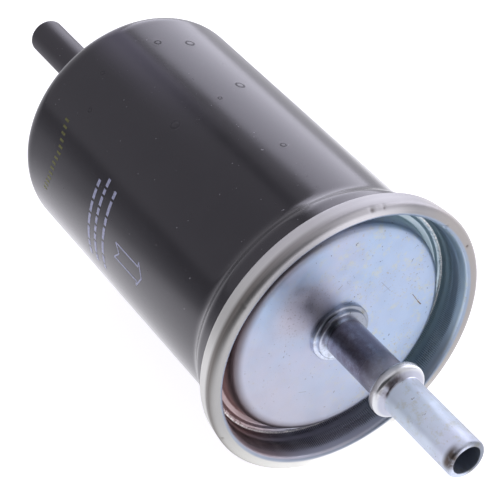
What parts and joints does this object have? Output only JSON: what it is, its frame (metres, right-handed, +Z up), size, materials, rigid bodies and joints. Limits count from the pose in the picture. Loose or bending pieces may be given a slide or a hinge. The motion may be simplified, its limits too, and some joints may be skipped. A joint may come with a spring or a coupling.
{
  "type": "inline fuel filter",
  "caption": "In-line fuel filter: black drawn-steel can, rolled-on zinc-plated end cover and a beaded quick-connect tube at each end, with a pleated paper element inside.",
  "frame": {"origin": "on the filter's axis, half-way between the two tube tips; centre of the whole part's box", "axes": "+X along the axis in the flow direction, from the inlet tube to the outlet tube; +Z up with the filter lying on its side"},
  "size_m": [0.1568, 0.0596, 0.0596],
  "materials": {
    "can_paint": "satin gloss black paint, softly reflective, a few small blisters and dust specks",
    "zinc_plate": "pale blue-lilac passivated zinc with faint yellow and pink clouding, fine specks and a scratch; warm beige-silver on the outside of the rolled seam",
    "tube_zinc": "smooth blue-white passivated zinc, polished, with a slight yellow stain",
    "tube_paint": "satin black paint",
    "sealant": "cured sealing compound, matt",
    "braze": "bronze braze fillet, slightly rippled",
    "filter_paper": "resin-treated filter paper, matt, fibrous",
    "bare_steel": "bare pressed steel, satin",
    "thread": "wound polyester thread",
    "tinplate": "tin-plated steel, satin",
    "adhesive": "cured plastisol, matt",
    "grommet_rubber": "fuel-resistant rubber, matt",
    "spring_steel": "oiled spring wire",
    "nylon": "natural nylon, slightly translucent looking"
  },
  "bodies": {
    "root": {"can_shell": "can_paint", "end_cover": "zinc_plate", "seam_sealing_ring": "sealant", "outlet_tube": "tube_zinc", "outlet_collar": "tube_zinc", "outlet_braze_ring": "braze", "inlet_tube": "tube_paint", "inlet_collar": "tube_paint", "inlet_braze_ring": "braze", "filter_paper": "filter_paper", "pleat_seam_clip": "bare_steel", "pleat_band_1": "thread", "pleat_band_2": "thread", "pleat_band_3": "thread", "core_tube": "bare_steel", "outlet_end_cap": "tinplate", "inlet_end_cap": "tinplate", "outlet_end_adhesive": "adhesive", "inlet_end_adhesive": "adhesive", "outlet_grommet": "grommet_rubber", "spring_seat": "bare_steel", "support_spring": "spring_steel", "centring_ring": "nylon"}
  },
  "joints": []
}
